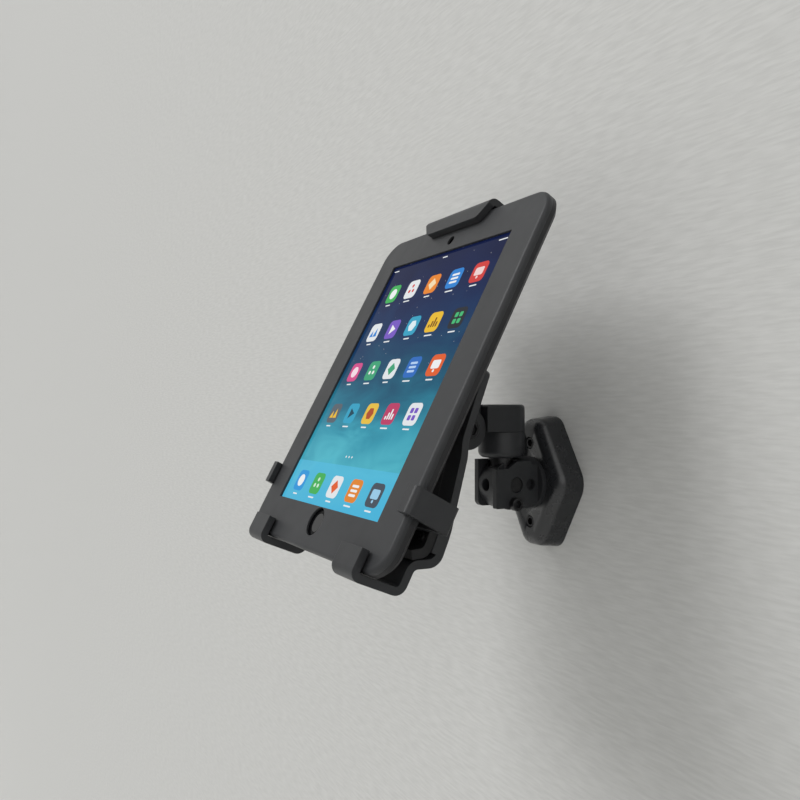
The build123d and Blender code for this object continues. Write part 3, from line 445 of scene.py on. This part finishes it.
# The home screen: tiles with plain motifs, captions, page dots and a status line
homeScreen = {
    "columns": 5, "rows": 4, "pitchAcrossMm": 27.4, "pitchAlongMm": 34, "topRowMm": 72, "dockMm": -83.5,
    "tileMm": 15.4, "cornerMm": 3.5, "glassMm": -1.82, "tileTopMm": -1.74, "motifTopMm": -1.7,
    "captionMm": 8.6, "captionHighMm": 1.0, "captionDropMm": 10.2, "captionShortest": 0.75,
    "captionStep": 0.07, "barCornerMm": 0.4, "cornerSteps": 5, "roundSides": 28, "smallSides": 16,
    "statusMm": 94.6, "statusHighMm": 0.9, "statusBarsMm": [(-68, 7), (0, 6), (66, 9)],
    "dotsMm": -62, "dotPitchMm": 4.2, "dotRadiusMm": 0.75, "pale": "#eef2f4",
    "motifStride": 7,  # ten kinds of motif, dealt out by steps of seven
    "tiles": [
        "#43b55c", "#e9edf0", "#f08a2c", "#2f86d8", "#d8433f", "#e9edf0", "#7b5bc7", "#35a6c9", "#f2c230",
        "#2b2f36", "#d94f8f", "#3fa77a", "#e9edf0", "#2f6fc4", "#e8632f", "#5b6670", "#35a6c9", "#eec545",
        "#c23f6a", "#e9edf0", "#2f9be0", "#46b45b", "#e9edf0", "#e88a30", "#4b5560",
    ],
    "motifs": [
        "#f4f7f8", "#d8433f", "#fbe4b8", "#f4f7f8", "#f7d9d6", "#2f86d8", "#f4f7f8", "#e3f4fa", "#7a4b12",
        "#48c07a", "#fbe0ec", "#f4f7f8", "#3fa77a", "#bcd8fa", "#f4f7f8", "#f2c230", "#17495c", "#b4502a",
        "#f4f7f8", "#7b5bc7", "#f4f7f8", "#d6f2dc", "#e8632f", "#f4f7f8", "#9fd1ef",
    ],
}


def roundedOutline(centre, width, height, corner):
    points = []
    steps = homeScreen["cornerSteps"]
    for quarter, (signAcross, signAlong) in enumerate([(1, 1), (-1, 1), (-1, -1), (1, -1)]):
        middleAcross = centre[0] + signAcross * (width / 2 - corner)
        middleAlong = centre[1] + signAlong * (height / 2 - corner)
        for step in range(steps + 1):
            angle = math.pi / 2 * (quarter + step / steps)
            points.append((
                middleAcross + corner * math.cos(angle), middleAlong + corner * math.sin(angle),
            ))
    return points


def roundOutline(centre, radius, sides=homeScreen["roundSides"]):
    angles = [2 * math.pi * side / sides for side in range(sides)]
    return [(centre[0] + radius * math.cos(a), centre[1] + radius * math.sin(a)) for a in angles]


# Plain motifs, drawn about a tile's middle in units of a tenth of its width
def motifOutlines(kind, centre, unit):
    smallSides = homeScreen["smallSides"]

    def at(acrossUnits, alongUnits):
        return centre[0] + acrossUnits * unit, centre[1] + alongUnits * unit

    if kind == 0:
        return [roundOutline(at(0, 0), 2.9 * unit)]
    if kind == 1:
        return [roundedOutline(at(0, row), 5.6 * unit, 1.1 * unit, 0.5 * unit) for row in (-2, 0, 2)]
    if kind == 2:
        return [roundOutline(at(-0.3, 0), 3 * unit, 3)]
    if kind == 3:
        return [
            roundedOutline(at(a, b), 2.3 * unit, 2.3 * unit, 0.5 * unit)
            for a in (-1.6, 1.6) for b in (-1.6, 1.6)
        ]
    if kind == 4:
        return [roundOutline(at(0, 0), 3.1 * unit, 4)]
    if kind == 5:
        return [
            [at(-3.4, -2.4), at(-0.2, -2.4), at(-1.8, 1.2)],
            [at(0, -2.4), at(3.4, -2.4), at(1.7, 2.4)],
        ]
    if kind == 6:
        heights = [1.6, 3.2, 4.8, 2.6]
        return [
            roundedOutline(at(-2.7 + 1.8 * i, h / 2 - 2.6), 1.1 * unit, h * unit, 0.4 * unit)
            for i, h in enumerate(heights)
        ]
    if kind == 7:
        return [
            roundOutline(at(1.9 * math.cos(a), 1.9 * math.sin(a)), 0.95 * unit, smallSides)
            for a in (math.pi / 2, math.pi * 7 / 6, math.pi * 11 / 6)
        ]
    if kind == 8:
        return [
            roundedOutline(at(0, 0.4), 6 * unit, 4 * unit, 0.9 * unit),
            roundOutline(at(0, -2.6), 0.7 * unit, smallSides),
        ]
    return [roundOutline(at(0, 0), 3 * unit, 6)]


# Adds a thin closed slab on the glass to a pile, which becomes one mesh with a colour for each face
def addSlab(pile, outline, lowMm, highMm, colour):
    first = len(pile["corners"])
    count = len(outline)
    for level in (lowMm, highMm):
        pile["corners"] += [onCradle(a, b, level) for a, b in outline]
    pile["faces"].append(list(range(first + count - 1, first - 1, -1)))
    pile["faces"].append(list(range(first + count, first + 2 * count)))
    for i in range(count):
        j = (i + 1) % count
        pile["faces"].append([first + i, first + j, first + count + j, first + count + i])
    pile["colours"] += [linearColour(colour)] * (count + 2)


def meshFromPile(name, pile, material):
    mesh = bpy.data.meshes.new(name)
    mesh.from_pydata(pile["corners"], [], pile["faces"])
    paint = mesh.color_attributes.new("ink", "FLOAT_COLOR", "CORNER")
    for face, colour in zip(mesh.polygons, pile["colours"]):
        for corner in face.loop_indices:
            paint.data[corner].color = colour
    mesh.materials.append(material)
    return mesh


def litInk(look):
    material, tree, shader = newMaterial("lit tiles under glass")
    ink = addNode(tree, "ShaderNodeVertexColor", layer_name="ink")
    underGlass(tree, shader, look, ink.outputs["Color"], look["tileGlow"])
    return material


def tileSpots(look):
    middle = (look["columns"] - 1) / 2
    heights = [look["topRowMm"] - row * look["pitchAlongMm"] for row in range(look["rows"])]
    for height in heights + [look["dockMm"]]:
        for column in range(look["columns"]):
            yield (column - middle) * look["pitchAcrossMm"], height


def buildHomeScreen(look):
    pile = {"corners": [], "faces": [], "colours": []}
    low, tileTop, motifTop = look["glassMm"], look["tileTopMm"], look["motifTopMm"]
    tile, pale, barCorner = look["tileMm"], look["pale"], look["barCornerMm"]
    for number, spot in enumerate(tileSpots(look)):
        square = roundedOutline(spot, tile, tile, look["cornerMm"])
        addSlab(pile, square, low, tileTop, look["tiles"][number])
        for outline in motifOutlines(number * look["motifStride"] % 10, spot, tile / 10):
            addSlab(pile, outline, tileTop, motifTop, look["motifs"][number])
        caption = (spot[0], spot[1] - look["captionDropMm"])
        length = look["captionMm"] * (look["captionShortest"] + look["captionStep"] * (number * 3 % 5))
        bar = roundedOutline(caption, length, look["captionHighMm"], barCorner)
        addSlab(pile, bar, low, tileTop, pale)
    for dot in (-1, 0, 1):
        middle = (dot * look["dotPitchMm"], look["dotsMm"])
        addSlab(pile, roundOutline(middle, look["dotRadiusMm"], look["smallSides"]), low, tileTop, pale)
    for middle, length in look["statusBarsMm"]:
        bar = roundedOutline((middle, look["statusMm"]), length, look["statusHighMm"], barCorner)
        addSlab(pile, bar, low, tileTop, pale)
    return addObject("home_screen_tiles", meshFromPile("home_screen_tiles", pile, litInk(display)))


tiles = buildHomeScreen(homeScreen)
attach(tiles, "cradle")
print("home screen done")

# Threads on the wall screws, wound along the shanks that stand out behind the bracket
thread = {
    "radiusMm": 2.4, "crestMm": 2.85, "pitchMm": 1.5, "lengthMm": 16.5, "sides": 24, "startMm": 0.8,
    "profile": [(0, -0.4), (1, -0.06), (1, 0.06), (0, 0.4)],  # rise to the crest, and shift in pitches
}


def windThread(name, centre, look):
    turns = look["lengthMm"] / look["pitchMm"]
    count = int(turns * look["sides"])
    rings = []
    for step in range(count + 1):
        angle = 2 * math.pi * step / look["sides"]
        travel = look["startMm"] + look["lengthMm"] * step / count
        taper = min(1.0, step / look["sides"], (count - step) / look["sides"])
        ring = []
        for rise, shift in look["profile"]:
            radius = look["radiusMm"] + rise * taper * (look["crestMm"] - look["radiusMm"])
            travelled = travel + shift * look["pitchMm"]
            place = Vector((radius * math.cos(angle), travelled, radius * math.sin(angle)))
            ring.append(centre + place * mm)
        rings.append(ring)
    piece = addObject(name, skinRings(name, rings))
    piece.data.materials.append(blackOxideSteel)
    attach(piece, "root")


mounts = {mount["name"]: mount for mount in frame["record"]["mounts"]}
screwSpacing = mounts["wall_screws"]["dims"]["spacing_y_mm"]
for place, side in (("upper", 0.5), ("lower", -0.5)):
    windThread(f"{place}_screw_thread", Vector((0, 0, side * screwSpacing * mm)), thread)
print("threads done")

# Floor, wall and world: pale and plain
studio = {
    "wallColour": "#c5c5c3", "wallShade": "#bcbcba", "shadeAt": 0.35, "colourAt": 0.65, "rippleMm": 2.4,
    "rippleStretch": 8, "rippleDetail": 3.0, "rippleDepthMm": 0.3, "rippleStrength": 0.5,
    "wallRough": 0.8, "wallBackMm": 0.02, "floorColour": "#dededc", "floorRough": 0.9,
    "floorBelow": 7.5, "reach": 22.0, "reachRight": 22.0 / 3, "reachUp": 11.0,
    "worldColour": "#cfcfcd", "worldStrength": 0.8,
}


# Embossed wall paper, seen only from the room's side; the rear lamp shines through it
def wallPaper(look):
    material, tree, shader = newMaterial("embossed wall paper")
    place = addNode(tree, "ShaderNodeTexCoord").outputs["Object"]
    stretched = addNode(tree, "ShaderNodeMapping", {
        "Vector": place, "Scale": (1 / look["rippleStretch"], 1, 1),
    })
    ripple = addNode(tree, "ShaderNodeTexNoise", {
        "Vector": stretched.outputs["Vector"], "Scale": 1 / (look["rippleMm"] * mm),
        "Detail": look["rippleDetail"],
    })
    tone = addNode(tree, "ShaderNodeValToRGB", {"Fac": ripple.outputs["Fac"]})
    setRamp(tone, [(look["shadeAt"], look["wallShade"]), (look["colourAt"], look["wallColour"])])
    bump = addNode(tree, "ShaderNodeBump", {
        "Strength": look["rippleStrength"], "Distance": look["rippleDepthMm"] * mm,
        "Height": ripple.outputs["Fac"],
    })
    tree.links.new(tone.outputs["Color"], shader.inputs["Base Color"])
    tree.links.new(bump.outputs["Normal"], shader.inputs["Normal"])
    shader.inputs["Roughness"].default_value = look["wallRough"]
    facing = addNode(tree, "ShaderNodeNewGeometry").outputs["Backfacing"]
    shadowRay = addNode(tree, "ShaderNodeLightPath").outputs["Is Shadow Ray"]
    seeThrough = addNode(tree, "ShaderNodeMath", {0: facing, 1: shadowRay}, operation="MAXIMUM")
    clear = addNode(tree, "ShaderNodeBsdfTransparent")
    mix = addNode(tree, "ShaderNodeMixShader", {
        0: seeThrough.outputs[0], 1: shader.outputs[0], 2: clear.outputs[0],
    })
    tree.links.new(mix.outputs[0], tree.nodes["Material Output"].inputs["Surface"])
    return material


def flatSheet(name, corners, material):
    mesh = bpy.data.meshes.new(name)
    mesh.from_pydata(corners, [], [(0, 1, 2, 3)])
    mesh.materials.append(material)
    addObject(name, mesh)


reach, reachRight, reachUp = studio["reach"], studio["reachRight"], studio["reachUp"]
below = -studio["floorBelow"]
wallBack = studio["wallBackMm"] * mm
flatSheet("wall", [
    (-reach, wallBack, below), (reachRight, wallBack, below),
    (reachRight, wallBack, reachUp), (-reach, wallBack, reachUp),
], wallPaper(studio))
floorPaint, _, floorShader = newMaterial("matt floor paint")
floorShader.inputs["Base Color"].default_value = linearColour(studio["floorColour"])
floorShader.inputs["Roughness"].default_value = studio["floorRough"]
flatSheet("floor", [
    (-reach, -reach, below), (reach, -reach, below), (reach, reach, below), (-reach, reach, below),
], floorPaint)

# The world shows its own pale colour to the camera, in gloss and in glass, and lights a little less
world = bpy.data.worlds.new("studio")
bpy.context.scene.world = world
world.use_nodes = True
sky = world.node_tree
path = addNode(sky, "ShaderNodeLightPath")
seen = addNode(sky, "ShaderNodeMath", {
    0: path.outputs["Is Camera Ray"], 1: path.outputs["Is Glossy Ray"],
}, operation="MAXIMUM")
seenOrThrough = addNode(sky, "ShaderNodeMath", {
    0: seen.outputs[0], 1: path.outputs["Is Transmission Ray"],
}, operation="MAXIMUM")
strength = addNode(sky, "ShaderNodeMapRange", {
    "Value": seenOrThrough.outputs[0], "To Min": studio["worldStrength"], "To Max": 1.0,
})
sky.nodes["Background"].inputs["Color"].default_value = linearColour(studio["worldColour"])
sky.links.new(strength.outputs["Result"], sky.nodes["Background"].inputs["Strength"])

# Soft lamps: a wide one from the upper left of the room, a weak fill from the right, and one from behind
# the wall for the views of the back
lamps = {
    "key": {"from": (-0.4, -0.75, 0.85), "level": 1.75, "spreadDegrees": 32},
    "fill": {"from": (0.9, -0.35, 0.45), "level": 0.5, "spreadDegrees": 50},
    "rear": {"from": (-0.35, 0.9, 0.5), "level": 1.1, "spreadDegrees": 50},
}


def aim(thing, towards):
    thing.rotation_mode = "QUATERNION"
    thing.rotation_quaternion = towards.to_track_quat("-Z", "Y")


for name, lamp in lamps.items():
    light = bpy.data.lights.new(name, "SUN")
    light.energy = lamp["level"]
    light.angle = math.radians(lamp["spreadDegrees"])
    aim(addObject(name, light), -Vector(lamp["from"]))

# The photograph's camera, worked out from the four corners of the case's window
view = {"atMm": (447.3, -391.1, 55.2), "towards": (-0.866, 0.5, 0.0106), "lensMm": 34.45, "sensorMm": 36}
lens = bpy.data.cameras.new("camera")
lens.lens = view["lensMm"]
lens.sensor_width = view["sensorMm"]
camera = addObject("camera", lens)
camera.location = Vector(view["atMm"]) * mm
aim(camera, Vector(view["towards"]))
bpy.context.scene.camera = camera
bpy.context.scene.view_settings.view_transform = "Standard"
print("studio done")
